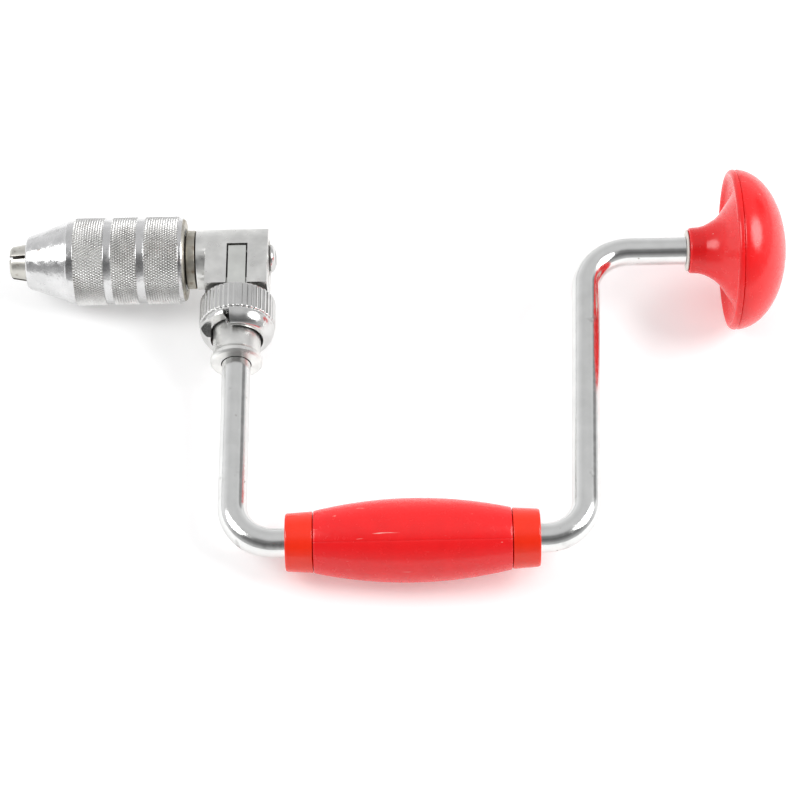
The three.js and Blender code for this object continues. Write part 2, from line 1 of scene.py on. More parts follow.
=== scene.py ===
import json
import math

import bmesh
import bpy
from mathutils import Matrix, Vector


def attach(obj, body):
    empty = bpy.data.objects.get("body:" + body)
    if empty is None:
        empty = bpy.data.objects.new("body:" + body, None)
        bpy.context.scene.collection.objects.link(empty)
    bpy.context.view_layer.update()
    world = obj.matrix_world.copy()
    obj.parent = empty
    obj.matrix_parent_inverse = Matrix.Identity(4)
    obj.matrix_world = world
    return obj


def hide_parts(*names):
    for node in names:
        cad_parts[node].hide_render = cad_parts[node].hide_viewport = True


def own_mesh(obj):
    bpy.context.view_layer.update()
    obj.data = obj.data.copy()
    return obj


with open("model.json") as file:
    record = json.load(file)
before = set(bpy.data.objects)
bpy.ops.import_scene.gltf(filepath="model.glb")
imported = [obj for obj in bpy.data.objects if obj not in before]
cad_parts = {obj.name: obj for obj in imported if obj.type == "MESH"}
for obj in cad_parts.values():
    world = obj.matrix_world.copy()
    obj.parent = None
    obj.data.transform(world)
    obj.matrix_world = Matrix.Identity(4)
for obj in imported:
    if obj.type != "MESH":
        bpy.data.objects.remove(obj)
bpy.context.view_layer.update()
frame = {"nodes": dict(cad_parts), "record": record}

# Fine pieces are drawn in millimetres in the brace's own axes, as in the CAD: the spindle along
# X with the head at +X, the grip towards -Y, and X = 0 on the axis of the ratchet's arm.
MM = 0.001
JOINTS = {joint["name"]: joint for joint in frame["record"]["behaviour"]["joints"]}
ALONG = Vector(JOINTS["chuck_spin"]["axis"]).normalized()
UP_ARM = Vector(JOINTS["front_pawl_slide"]["axis"]).normalized()
HOME = Matrix((ALONG, UP_ARM, ALONG.cross(UP_ARM))).transposed().to_4x4()
HOME.translation = Vector(JOINTS["chuck_spin"]["pos_m"])

# crank
THROW = 141  # spindle axis to grip axis
ARM_SPAN = 148  # ratchet arm to head arm, at the spindle axis
ARM_FOOT = 140  # ratchet arm to head arm, at the grip axis
ROD_R = 6
GRIP_BEND_R = 17
HEAD_BEND_R = 20
ROD_TOP_Y = -26.5
SHOULDER_X = 190.5
AXLE_R = 4
AXLE_END_X = 218

# ratchet
HOUSING_R = 12.8
HOUSING_X = (-17.6, 12.9)
WINDOW_HALF = 4.4
WINDOW_TOP_Y = -1.4
STEM_R = 9.6
STEM_END_Y = -55
RING_R = 15.95
RING_TOP_Y = -23.7
BAND_END_Y = -36
RING_END_Y = -42.8
CUTAWAY = (-76, -13)  # degrees round the arm: 0 is the front, 90 the head's side
CUTAWAY_Y = -38.9
FLUTES = 44
FLUTE_DEPTH = 0.32
PAWL_TRAVEL = 2.5
RAMP = 50  # degrees of the ring's turn in which its cam moves a pawl
SPRING_FOOT_Y = -40.1
SPRING_Z = 7.8

# chuck
SLEEVE_FRONT_X = -89.8
SLEEVE_REAR_X = -22.3
RUSTY_RIM_X = -23.3  # the sleeve's rim behind this looks like the rusty collar
KNURL_R = 18.6
GROOVE_R = 18.0
NOSE_R = 17.8
KNURL_BANDS = ((-68.9, -56.3), (-52.9, -42.5), (-39.0, -24.9))
KNURL_AROUND = 96  # diamonds in a ring
KNURL_ALONG = 2.1  # length of a diamond
KNURL_STEP = 0.26  # length of a mesh row in the knurling
KNURL_DEPTH = 0.56
KNURL_SLOPE = 0.84
KNURL_FLAT = 0.67  # share of a diamond's height at which its top is cut flat
VALLEY_R = (KNURL_R - 0.7, KNURL_R - 0.3)  # faces between these radii are painted darker: painted shade in the knurl's valleys, with patches of grime
JAW_ROLL = 63  # degrees round the spindle to the first jaw: 0 faces away from the grip
JAW_FLAT = 4.2  # half the width of the square that the jaws leave open
JAW_SLIT = 1.5
JAW_TIP_X = -97.1
JAW_REAR_X = -72.6

# head and grip
HEAD_SEAM_X = 211.5
HEAD_R = 34.2
HEAD_BORE_R = 7.3
DOME_HEIGHT = 21.5
CAP_HOLLOW = (30.8, 18.1)  # radius and height of the hollow in the cap
GRIP_MID_X = 71.5
GRIP_HALF = 39
GRIP_ROLL = 31  # degrees that the seam between the shells is turned from the front
GRIP_END_R = 12.3
GRIP_MAX_R = 16.7
GRIP_WALL = 3.6
GRIP_BORE_R = 6.3
GRIP_SEAM = 0.008  # half the gap between the shells
COLLAR_LENGTH = 10.8

scene = bpy.context.scene


# ---- materials ------------------------------------------------------------------------------

BROWN = (0.16, 0.09, 0.05)
GRIME = (0.10, 0.09, 0.08)
MARK_DULLING = 0.25  # how much rougher a stain, a speck or a painted sheen streak is than the surface round it


def finish(name, color, roughness, metallic=0.0, clouds=0.06, spread=0.06, grain=None,
           dent=None, stain=None, specks_and_sheen=None):
    """A surface with cloudy tone, uneven gloss, relief and stains.

    clouds and spread are how far the tone and the gloss wander. grain and dent are layers of
    relief: (scale, stretch, strength, depth in metres). stain and specks_and_sheen are patches of
    another colour: (colour, scale, noise value where they start, value where they are full[,
    stretch]). specks_and_sheen holds dark specks on the metals and pale streaks of painted sheen
    on the red plastic.
    """
    material = bpy.data.materials.new(name)
    material.use_nodes = True
    tree = material.node_tree
    shader = tree.nodes["Principled BSDF"]
    shader.inputs["Metallic"].default_value = metallic
    where = tree.nodes.new("ShaderNodeTexCoord").outputs["Object"]

    def noise(scale, detail=5.0, stretch=None):
        source = where
        if stretch:
            mapping = tree.nodes.new("ShaderNodeMapping")
            mapping.inputs["Scale"].default_value = stretch
            tree.links.new(where, mapping.inputs["Vector"])
            source = mapping.outputs["Vector"]
        texture = tree.nodes.new("ShaderNodeTexNoise")
        texture.inputs["Scale"].default_value = scale
        texture.inputs["Detail"].default_value = detail
        tree.links.new(source, texture.inputs["Vector"])
        return texture.outputs["Fac"]

    def ranged(value, low, high, from_low=0.3, from_high=0.7):
        node = tree.nodes.new("ShaderNodeMapRange")
        for socket, number in zip(
            ("From Min", "From Max", "To Min", "To Max"), (from_low, from_high, low, high)
        ):
            node.inputs[socket].default_value = number
        tree.links.new(value, node.inputs["Value"])
        return node.outputs["Result"]

    def mixed(factor, first, second):
        node = tree.nodes.new("ShaderNodeMix")
        node.data_type = "RGBA"
        tree.links.new(factor, node.inputs[0])
        for socket, value in ((node.inputs[6], first), (node.inputs[7], second)):
            if isinstance(value, tuple):
                socket.default_value = (*value, 1.0)
            else:
                tree.links.new(value, socket)
        return node.outputs[2]

    shades = [tuple(min(1.0, c * (1 + k * clouds)) for c in color) for k in (-1, 1)]
    tone = mixed(ranged(noise(130.0), 0.0, 1.0), *shades)
    gloss = ranged(noise(420.0, 3.0), roughness - spread, roughness + spread)
    for mask in (stain, specks_and_sheen):
        if not mask:
            continue
        tint, scale, start, full, *stretch = mask
        where_marked = ranged(noise(scale, 6.0, *stretch), 0.0, 1.0, start, full)
        tone = mixed(where_marked, tone, tint)
        node = tree.nodes.new("ShaderNodeMath")
        node.operation = "MULTIPLY_ADD"
        node.inputs[1].default_value = MARK_DULLING
        tree.links.new(where_marked, node.inputs[0])
        tree.links.new(gloss, node.inputs[2])
        gloss = node.outputs[0]
    tree.links.new(tone, shader.inputs["Base Color"])
    tree.links.new(gloss, shader.inputs["Roughness"])

    relief = None
    for layer in (grain, dent):
        if not layer:
            continue
        scale, stretch, strength, distance = layer
        bump = tree.nodes.new("ShaderNodeBump")
        bump.inputs["Strength"].default_value = strength
        bump.inputs["Distance"].default_value = distance
        tree.links.new(noise(scale, 4.0, stretch), bump.inputs["Height"])
        if relief:
            tree.links.new(relief, bump.inputs["Normal"])
        relief = bump.outputs["Normal"]
    if relief:
        tree.links.new(relief, shader.inputs["Normal"])
    return material


CHROME = finish("chrome plate", (0.78, 0.785, 0.775), 0.16, 1.0, clouds=0.05, spread=0.05,
                grain=(420.0, (1, 1, 1), 0.35, 0.00006), stain=(GRIME, 95.0, 0.64, 0.86),
                specks_and_sheen=((0.20, 0.15, 0.11), 480.0, 0.715, 0.76))
PLATE = finish("satin plate on a casting", (0.80, 0.80, 0.78), 0.34, 1.0, clouds=0.14,
               spread=0.07, grain=(700.0, (1, 1, 1), 0.30, 0.00006),
               dent=(150.0, (1, 1, 1), 0.25, 0.0001), stain=(BROWN, 170.0, 0.72, 0.84))
PAWL_STEEL = finish("pawl steel", (0.75, 0.76, 0.73), 0.36, 1.0, clouds=0.08, spread=0.06,
                    grain=(1500.0, (1, 0.15, 1), 0.3, 0.00004), stain=(BROWN, 210.0, 0.68, 0.80))
RING = finish("polished ring", (0.68, 0.68, 0.67), 0.19, 1.0, clouds=0.07, spread=0.07,
              grain=(700.0, (1, 1, 1), 0.3, 0.00005), stain=(BROWN, 260.0, 0.68, 0.80))
KNURL = finish("knurled plate", (0.80, 0.80, 0.79), 0.31, 1.0, clouds=0.08, spread=0.08,
               grain=(1100.0, (1, 1, 1), 0.3, 0.00004),
               stain=((0.34, 0.31, 0.28), 60.0, 0.60, 0.85),
               specks_and_sheen=((0.02, 0.02, 0.02), 330.0, 0.71, 0.73))
# darker grey for the knurl's valleys: painted shade, with real grime patches from its stain
KNURL_SHADE_AND_GRIME = finish("painted shade and grime in the knurl", (0.55, 0.54, 0.52), 0.45, 1.0, clouds=0.25,
                     spread=0.08, grain=(1100.0, (1, 1, 1), 0.3, 0.00004),
                     stain=((0.16, 0.14, 0.12), 60.0, 0.52, 0.80))
POLISHED = finish("polished plate", (0.68, 0.68, 0.68), 0.23, 1.0, clouds=0.08, spread=0.08,
                  grain=(2200.0, (1, 0.12, 0.12), 0.35, 0.00003),
                  dent=(170.0, (1, 1, 1), 0.9, 0.0004), stain=(BROWN, 180.0, 0.66, 0.80))
JAW_STEEL = finish("jaw steel", (0.56, 0.55, 0.51), 0.36, 1.0, clouds=0.15, spread=0.08,
                   grain=(1600.0, (0.2, 1, 1), 0.5, 0.00005), stain=(BROWN, 300.0, 0.60, 0.75))
COLLAR_STEEL = finish("rusty steel", (0.50, 0.48, 0.42), 0.42, 0.9, clouds=0.35, spread=0.10,
                      grain=(1300.0, (1, 1, 1), 0.6, 0.0001),
                      stain=((0.22, 0.17, 0.12), 260.0, 0.50, 0.75))
# near-black faces along the jaws' slits and opening: painted shade, with a few brown stains
SLIT_SHADE = finish("painted shade in the slits", (0.05, 0.045, 0.04), 0.60, 0.6, clouds=0.3, spread=0.10,
                    grain=(900.0, (1, 1, 1), 0.4, 0.00005), stain=(BROWN, 200.0, 0.55, 0.75))
WORKING_STEEL = finish("oiled steel", (0.36, 0.36, 0.36), 0.38, 1.0, clouds=0.15, spread=0.08,
                       grain=(1200.0, (1, 1, 1), 0.4, 0.00005), stain=(GRIME, 160.0, 0.55, 0.75))
SPRING_WIRE = finish("spring wire", (0.30, 0.31, 0.33), 0.32, 1.0, clouds=0.10, spread=0.08,
                     grain=(1800.0, (1, 1, 1), 0.4, 0.00003), stain=(GRIME, 300.0, 0.6, 0.8))
# the pale pink streaks along the axis (specks_and_sheen) are painted sheen streaks; the larger
# lighter patches (stain) are real tone
RED = finish("red plastic", (0.87, 0.012, 0.014), 0.23, clouds=0.04, spread=0.06,
             grain=(520.0, (1, 1, 1), 0.16, 0.00008), dent=(60.0, (1, 1, 1), 0.15, 0.0002),
             stain=((0.86, 0.09, 0.08), 70.0, 0.60, 0.90, (0.5, 1, 1)),
             specks_and_sheen=((0.90, 0.34, 0.30), 22.0, 0.70, 0.74, (2, 34, 34)))
ORANGE_RED = finish("orange-red plastic", (0.90, 0.026, 0.005), 0.22, clouds=0.04, spread=0.05,
                    grain=(900.0, (1, 1, 1), 0.10, 0.00004),
                    dent=(110.0, (1, 1, 1), 0.2, 0.0002))
NYLON = finish("nylon", (0.80, 0.78, 0.72), 0.45, clouds=0.05, spread=0.06,
               grain=(1400.0, (1, 1, 1), 0.2, 0.00003),
               stain=((0.45, 0.38, 0.30), 200.0, 0.62, 0.8))


# ---- shaping --------------------------------------------------------------------------------


def eased(profile, radius=0.35, steps=3):
    """The outline with its corners rounded."""
    points = [Vector(point) for point in profile]
    result = [points[0]]
    for before, corner, after in zip(points, points[1:], points[2:]):
        a, b = before - corner, after - corner
        if min(a.length, b.length) < 1e-6 or a.angle(b) > math.radians(168):
            result.append(corner)
            continue
        cut = min(radius, 0.45 * a.length, 0.45 * b.length)
        start, end = corner + a.normalized() * cut, corner + b.normalized() * cut
        for k in range(steps + 1):
            t = k / steps
            result.append(start * (1 - t) ** 2 + corner * 2 * t * (1 - t) + end * t * t)
    result.append(points[-1])
    return result


def new_object(name, bm):
    """An object from a mesh in the making. Spaces in its name become hyphens."""
    bmesh.ops.recalc_face_normals(bm, faces=bm.faces)
    mesh = bpy.data.meshes.new(name)
    bm.to_mesh(mesh)
    bm.free()
    obj = bpy.data.objects.new(name.replace(" ", "-"), mesh)
    scene.collection.objects.link(obj)
    return obj


def place_on(axis, along, radius, angle):
    """The point at a radius and an angle round the X or Y axis, from millimetres to metres."""
    s, c = math.sin(angle), math.cos(angle)
    if axis == "x":
        return Vector((along, radius * c, radius * s)) * MM
    return Vector((radius * s, along, radius * c)) * MM


def turned(name, axis, profile, sides=128, shape=None, arc=None):
    """A profile of (along, radius) turned about X or Y, or through an arc in degrees."""
    bm = bmesh.new()
    closed = profile[0][1] > 1e-6 or profile[-1][1] > 1e-6
    count = sides + 1 if arc else sides
    rings = []
    for along, radius in profile:
        if radius < 1e-6 and not arc:
            rings.append([bm.verts.new(place_on(axis, along, 0, 0))])
            continue
        ring = []
        for i in range(count):
            if arc:
                angle = math.radians(arc[0] + (arc[1] - arc[0]) * i / sides)
            else:
                angle = 2 * math.pi * i / sides
            r = shape(along, radius, angle) if shape else radius
            ring.append(bm.verts.new(place_on(axis, along, r, angle)))
        rings.append(ring)
    pairs = list(zip(rings, rings[1:]))
    if closed:
        pairs.append((rings[-1], rings[0]))
    for a, b in pairs:
        for i in range(sides):
            k = i + 1 if arc else (i + 1) % sides
            if len(a) == 1 and len(b) == 1:
                continue
            if len(a) == 1:
                bm.faces.new((a[0], b[i], b[k]))
            elif len(b) == 1:
                bm.faces.new((a[i], b[0], a[k]))
            else:
                bm.faces.new((a[i], b[i], b[k], a[k]))
    if arc:
        bm.faces.new([ring[0] for ring in rings])
        bm.faces.new([ring[-1] for ring in rings])
    return new_object(name, bm)


def box(name, x, y, z):
    bm = bmesh.new()
    bmesh.ops.create_cube(bm, size=1)
    for vert in bm.verts:
        vert.co = Vector((
            x[vert.co.x > 0], y[vert.co.y > 0], z[vert.co.z > 0],
        )) * MM
    return new_object(name, bm)


def bake(obj):
    """The object's mesh with its modifiers applied."""
    bpy.context.view_layer.update()
    evaluated = obj.evaluated_get(bpy.context.evaluated_depsgraph_get())
    mesh = bpy.data.meshes.new_from_object(evaluated)
    obj.modifiers.clear()
    obj.data = mesh
    return obj


def combine(base, operation, *tools):
    """The base joined with the tools, cut by them or trimmed to them, one after another."""
    for tool in tools:
        modifier = base.modifiers.new("shape", "BOOLEAN")
        modifier.operation = operation
        modifier.solver = "EXACT"
        modifier.object = tool
        bake(base)
        bpy.data.objects.remove(tool)
    return base


def softened(obj, width, segments=3, angle=32):
    modifier = obj.modifiers.new("soft edges", "BEVEL")
    modifier.width = width * MM
    modifier.segments = segments
    modifier.limit_method = "ANGLE"
    modifier.angle_limit = math.radians(angle)
    return bake(obj)


def piece(obj, body, nodes, material, sharp=48, at=None):
    """Puts a finished piece on its body, in place of the CAD nodes it stands for."""
    if not obj.data.materials:
        obj.data.materials.append(material)
    obj.data.shade_smooth()
    obj.data.set_sharp_from_angle(angle=math.radians(sharp))
    obj.matrix_world = at or HOME
    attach(obj, body)
    if nodes:
        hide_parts(*nodes)
    return obj


# ---- crank ----------------------------------------------------------------------------------


def bent_path(corners, radii, steps=20):
    """Points and directions along a line through the corners, bent to a radius at each."""
    corners = [Vector((x, y, 0)) for x, y in corners]
    stations = [(corners[0], (corners[1] - corners[0]).normalized())]
    for before, corner, after, radius in zip(corners, corners[1:], corners[2:], radii):
        inward, outward = (corner - before).normalized(), (after - corner).normalized()
        turn = inward.angle(outward)
        start = corner - inward * radius * math.tan(turn / 2)
        sideways = (outward - inward * math.cos(turn)).normalized()
        for k in range(steps + 1):
            angle = turn * k / steps
            point = start + inward * radius * math.sin(angle)
            point += sideways * radius * (1 - math.cos(angle))
            stations.append((point, inward * math.cos(angle) + sideways * math.sin(angle)))
    stations.append((corners[-1], (corners[-1] - corners[-2]).normalized()))
    return stations


def rod(name, stations, radius, sides=64, out=Vector((0, 0, 1)), blunt=0.5):
    """A round bar along the stations, narrower by blunt at its ends."""
    bm = bmesh.new()
    ends = [(stations[0], radius - blunt), *[(s, radius) for s in stations],
            (stations[-1], radius - blunt)]
    rings = []
    for (point, direction), r in ends:
        across = direction.cross(out).normalized()
        upward = across.cross(direction)
        rings.append([
            bm.verts.new((point + across * r * math.cos(a) + upward * r * math.sin(a)) * MM)
            for a in (2 * math.pi * i / sides for i in range(sides))
        ])
    for a, b in zip(rings, rings[1:]):
        for i in range(sides):
            bm.faces.new((a[i], b[i], b[(i + 1) % sides], a[(i + 1) % sides]))
    bm.faces.new(rings[0])
    bm.faces.new(rings[-1])
    return new_object(name, bm)


PATH = bent_path(
    [(0, ROD_TOP_Y), (0, -THROW), (ARM_FOOT, -THROW), (ARM_SPAN, 0), (SHOULDER_X, 0)],
    [GRIP_BEND_R, GRIP_BEND_R, HEAD_BEND_R],
)
piece(rod("crank rod", PATH, ROD_R), "crank", ["crank_rod"], CHROME)
AXLE = eased([(SHOULDER_X - 1, 0), (SHOULDER_X - 1, AXLE_R), (AXLE_END_X, AXLE_R),
              (AXLE_END_X, 0)], 0.5)
piece(turned("head axle", "x", AXLE, 48), "crank", [], CHROME)


# ---- ratchet --------------------------------------------------------------------------------


def housing():
    """The barrel round the spindle, the block that holds the pawls, and the stem for the rod."""
    left, right = HOUSING_X
    barrel = turned("ratchet housing", "x", [(left, 0), (left, HOUSING_R), (right, HOUSING_R),
                                             (right, 0)])
    skirt = box("skirt", (-13.4, 12.7), (-22, -0.8), (-13.0, 13.0))
    stem = turned("stem", "y", [(-18, 0), (-18, STEM_R), (-36.0, STEM_R), (-36.4, 10.1),
                                (-50.4, 9.9), (-51.6, 10.1), (-52.6, 10.8), (-54.2, 10.8),
                                (STEM_END_Y, 10.0), (STEM_END_Y, 0)])
    combine(barrel, "UNION", skirt, stem)
    combine(
        barrel, "DIFFERENCE",
        turned("wheel chamber", "x", [(-20, 0), (-20, 8.8), (5.2, 8.8), (5.2, 0)]),
        turned("bush bore", "x", [(4, 0), (4, 7.7), (15, 7.7), (15, 0)], 96),
        turned("rod bore", "y", [(-60, 0), (-60, 6.3), (-25.7, 6.3), (-25.7, 0)], 96),
    )
    for side in (1, -1):
        def deep(a, b):
            return tuple(sorted((side * a, side * b)))
        combine(
            barrel, "DIFFERENCE",
            box("window", (-WINDOW_HALF, WINDOW_HALF), (-16.6, WINDOW_TOP_Y), deep(3, 15)),
            box("pawl slot", (-WINDOW_HALF, WINDOW_HALF), (-23, WINDOW_TOP_Y), deep(9, 15)),
            box("tail slot", (-2.1, 2.1), (-40.4, -15), deep(5.2, 11.5)),
        )
    return softened(barrel, 0.32)


piece(housing(), "crank", ["ratchet_housing"], PLATE, 40)


def fluted(along, radius, angle):
    """The grip flutes cut round the ring's band; they run out at its lower edge."""
    inside_band = BAND_END_Y - 0.2 < along < RING_TOP_Y and radius > RING_R - 0.6
    if not inside_band:
        return radius
    wave = 0.5 - 0.5 * math.cos(FLUTES * angle)
    return radius - FLUTE_DEPTH * wave ** 2


def ring_sector(name, start, end, inner, outer, top, bottom_at, step=2.0):
    """A ring round Y, or part of one, whose lower edge follows bottom_at(degrees)."""
    bm = bmesh.new()
    count = math.ceil((end - start) / step)
    whole = end - start >= 360
    loops = []
    for i in range(count if whole else count + 1):
        degrees = start + (end - start) * i / count
        a = math.radians(degrees)
        loops.append([
            bm.verts.new(place_on("y", y, radius, a)) for radius, y in
            ((inner, bottom_at(degrees)), (outer, bottom_at(degrees)), (outer, top), (inner, top))
        ])
    links = list(zip(loops, loops[1:]))
    if whole:
        links.append((loops[-1], loops[0]))
    for a, b in links:
        for k in range(4):
            bm.faces.new((a[k], a[(k + 1) % 4], b[(k + 1) % 4], b[k]))
    if not whole:
        bm.faces.new(loops[0])
        bm.faces.new(loops[-1])
    return new_object(name, bm)


def selector_ring():
    outline = [
        (-29.3, 13.6), (RING_TOP_Y, 13.6), (RING_TOP_Y, RING_R - 0.5), (RING_TOP_Y - 0.5, RING_R),
        (-25.2, RING_R), (-35.0, RING_R), (BAND_END_Y + 0.2, RING_R), (BAND_END_Y, RING_R - 0.55),
        (-37.2, 15.7), (-38.5, 15.45), (-39.6, 15.05), (-40.6, 14.55), (-41.6, 13.9),
        (-42.4, 13.2), (RING_END_Y, 12.6), (RING_END_Y, 10.9), (-38.8, 10.9), (-38.8, 12.5),
        (-29.3, 12.5),
    ]
    ring = turned("selector ring", "y", eased(outline, 0.3, 2), FLUTES * 8, fluted)
    cutaway = ring_sector("cutaway", *CUTAWAY, 5, 20, CUTAWAY_Y, lambda d: RING_END_Y - 2)
    notch = ring_sector("notch", CUTAWAY[1] - 6, CUTAWAY[1] + 4, 5, 20, CUTAWAY_Y + 1.5,
                        lambda d: RING_END_Y - 2)
    combine(ring, "DIFFERENCE", cutaway, notch)
    return ring


def cam_drop(degrees):
    """How far the cam reaches down: one pawl is drawn back while the other is let go."""
    angle = degrees % 360
    if angle > 180:
        return PAWL_TRAVEL * min(max((360 - angle) / RAMP, 0), 1.12)
    return PAWL_TRAVEL * (1 - min(max((180 - angle) / RAMP, 0), 1.12))


piece(selector_ring(), "selector", ["selector_ring"], RING, 42)
CAM = ring_sector("selector cam", 0, 360, 9.9, 12.6, -29.3, lambda d: -31.25 - cam_drop(d))
piece(CAM, "selector", [], WORKING_STEEL)


def pawl_spring(name, z, top, turns=5, coil=0.85, wire=0.25):
    low = SPRING_FOOT_Y + wire
    stations = []
    for i in range(turns * 24 + 1):
        a = 2 * math.pi * i / 24
        height = low + (top - wire - low) * i / (turns * 24)
        direction = Vector((-coil * math.sin(a), (top - low) / (2 * math.pi * turns),
                            coil * math.cos(a)))
        stations.append((Vector((coil * math.cos(a), height, z + coil * math.sin(a))),
                         direction.normalized()))
    spring = rod(name, stations, wire, 12, Vector((0, 1, 0)), 0.06)
    return piece(spring, "crank", [name.replace(" ", "_")], SPRING_WIRE, 60)


FRONT_SPRING = pawl_spring("front pawl spring", SPRING_Z, -34.9)
pawl_spring("rear pawl spring", -SPRING_Z, -37.4)
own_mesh(FRONT_SPRING)

COLLAR = eased([(-21.9, 5.8), (-21.9, 12.5), (-18.2, 12.5), (-18.2, 5.8)], 0.35)
piece(turned("spindle collar", "x", COLLAR), "spindle_assembly", ["spindle_collar"],
      COLLAR_STEEL)
CAP = eased([(13.5, 3.3), (13.5, 6.2), (14.4, 5.9), (15.2, 4.9), (15.7, 3.6), (15.7, 3.3)], 0.3)
piece(turned("spindle cap", "x", CAP, 96), "spindle_assembly", ["spindle_cap"], RING)


# ---- chuck ----------------------------------------------------------------------------------


def triangle_wave(t):
    """0 to 1 and back to 0 as t goes up by 1."""
    return 1 - abs(2 * (t % 1) - 1)


def knurled(along, radius, angle):
    """Diamonds between two sets of crossing grooves."""
    for start, end in KNURL_BANDS:
        if start < along < end and radius > KNURL_R - 0.3:
            turn = KNURL_AROUND * angle / (2 * math.pi)
            step = along / KNURL_ALONG
            height = min(triangle_wave(turn + step), triangle_wave(turn - step))
            return radius - KNURL_DEPTH + KNURL_SLOPE * min(height, KNURL_FLAT)
    return radius


def chuck_sleeve():
    outline = [(SLEEVE_FRONT_X, 8.9), (SLEEVE_FRONT_X, 10.6), (-89.2, 11.2), (-72.4, 17.35),
               (-71.8, NOSE_R), (-69.3, NOSE_R)]
    for start, end in KNURL_BANDS:
        outline.append((start, NOSE_R if start == KNURL_BANDS[0][0] else GROOVE_R))
        steps = round((end - start) / KNURL_STEP)
        outline += [(start + (end - start) * k / steps, KNURL_R) for k in range(steps + 1)]
        outline.append((end, GROOVE_R))
    outline += [(-24.4, GROOVE_R), (-23.4, 17.8), (SLEEVE_REAR_X, 16.9),
                (SLEEVE_REAR_X, 13.4), (-31.5, 13.4),
                (-32.6, 11.1), (-57, 11.1), (-57, 15.2), (-62.5, 15.2), (-88.9, 9.0)]
    sleeve = turned("chuck sleeve", "x", eased(outline, 0.25, 2), KNURL_AROUND * 6, knurled)
    materials = [KNURL, POLISHED, KNURL_SHADE_AND_GRIME, COLLAR_STEEL]
    for material in materials:
        sleeve.data.materials.append(material)
    for polygon in sleeve.data.polygons:
        x = polygon.center.x / MM
        radius = math.hypot(polygon.center.y, polygon.center.z) / MM
        if x > RUSTY_RIM_X:
            polygon.material_index = materials.index(COLLAR_STEEL)
        elif not any(start < x < end for start, end in KNURL_BANDS):
            polygon.material_index = materials.index(POLISHED)
        # faces down in the valleys get the darker material: painted shade and grime
        elif VALLEY_R[0] < radius < VALLEY_R[1]:
            polygon.material_index = materials.index(KNURL_SHADE_AND_GRIME)
    return sleeve


piece(chuck_sleeve(), "sleeve", ["chuck_sleeve"], KNURL, 60)


def jaw(number, body):
    """A quarter of the nose, with a slit to each side and its share of the square opening."""
    roll = math.radians(JAW_ROLL + 90 * (number - 1))
    quarter = turned(f"jaw {number}", "x", eased([
        (JAW_TIP_X, 0), (JAW_TIP_X, 6.0), (JAW_TIP_X + 0.9, 6.9), (-90.3, 7.9), (-89.0, 8.4),
        (JAW_REAR_X, 12.3), (JAW_REAR_X, 0),
    ], 0.4))
    away = JAW_SLIT / math.sqrt(2)
    bm = bmesh.new()
    front, rear = [
        [bm.verts.new(Vector((x, away + y, z)) * MM) for y, z in ((0, 0), (30, 30), (30, -30))]
        for x in (-100, -71)
    ]
    bm.faces.new(front)
    bm.faces.new(rear)
    for k in range(3):
        bm.faces.new((front[k], front[(k + 1) % 3], rear[(k + 1) % 3], rear[k]))
    combine(quarter, "INTERSECT", new_object("sector", bm))
    combine(quarter, "DIFFERENCE", box("opening", (-101, -70), (-1, JAW_FLAT), (-13, 13)))
    combine(quarter, "UNION", box("key", (-75, -67.5), (6.3, 9.9), (-2.2, 2.2)))
    softened(quarter, 0.3, 2)
    quarter.data.materials.append(JAW_STEEL)
    quarter.data.materials.append(SLIT_SHADE)
    for polygon in quarter.data.polygons:
        outward = Vector((0, polygon.center.y, polygon.center.z)).normalized()
        # the faces along the slits and round the opening are painted near-black: painted shade in
        # the gaps
        if abs(polygon.normal.x) < 0.5 and polygon.normal.dot(outward) < 0.35:
            polygon.material_index = 1
    quarter.data.transform(Matrix.Rotation(roll, 4, "X"))
    piece(quarter, body, [f"jaw_{number}"], JAW_STEEL, 40)


for number, body in enumerate(("first_jaw", "second_jaw", "third_jaw", "fourth_jaw"), 1):
    jaw(number, body)


# ---- head -----------------------------------------------------------------------------------

BASE = [
    (191.8, HEAD_BORE_R), (191.8, 9.1), (192.5, 9.7), (196, 9.9), (198.4, 10.5), (200.6, 11.6),
    (203.2, 13.2), (205.3, 15.2), (207.1, 17.8), (209.1, 20.8), (210.8, 23.6), (211.5, 26.0),
    (211.4, 28.0), (210.5, 29.8), (209.3, 31.3), (208.9, 32.3), (209.1, 33.2), (209.8, 33.9),
    (210.6, HEAD_R), (211.3, HEAD_R), (211.45, 34.1), (211.46, 33.4), (211.46, 30.4),
    (213.0, 29.3), (213.3, 28.5), (213.3, 23.8), (211.2, 19.2), (210.4, 12.2), (211.4, 10.4),
    (211.4, HEAD_BORE_R),
]
piece(turned("head base", "x", eased(BASE, 0.4), 160), "head", ["head_base"], RED)


def dome(radius, height, start, end, steps=28):
    """Part of an ellipse beyond the seam, from one angle to another in degrees."""
    points = []
    for k in range(steps + 1):
        a = math.radians(start + (end - start) * k / steps)
        points.append((HEAD_SEAM_X + height * math.sin(a), radius * math.cos(a)))
    return points


CAP_OUT = [(HEAD_SEAM_X, 33.3), (HEAD_SEAM_X + 0.35, 33.9)] + dome(HEAD_R, DOME_HEIGHT, 3, 90)
CAP_IN = dome(*CAP_HOLLOW, 90, 0)
CAP_OUT[-1] = (CAP_OUT[-1][0], 0)
CAP_IN[0] = (CAP_IN[0][0], 0)
piece(turned("head cap", "x", CAP_IN + CAP_OUT, 160), "head", ["head_cap"], RED)

BUSH = eased([(190.8, 4.3), (190.8, 8.8), (191.5, 8.8), (191.5, 7.0), (211.8, 7.0),
              (211.8, 4.3)], 0.25)
piece(turned("head bush", "x", BUSH, 96), "head", ["head_bush"], NYLON)


# ---- grip -----------------------------------------------------------------------------------

GRIP_AT = HOME @ Matrix.Translation(Vector((GRIP_MID_X, -THROW, 0)) * MM)
GRIP_AT = GRIP_AT @ Matrix.Rotation(math.radians(GRIP_ROLL), 4, "X")


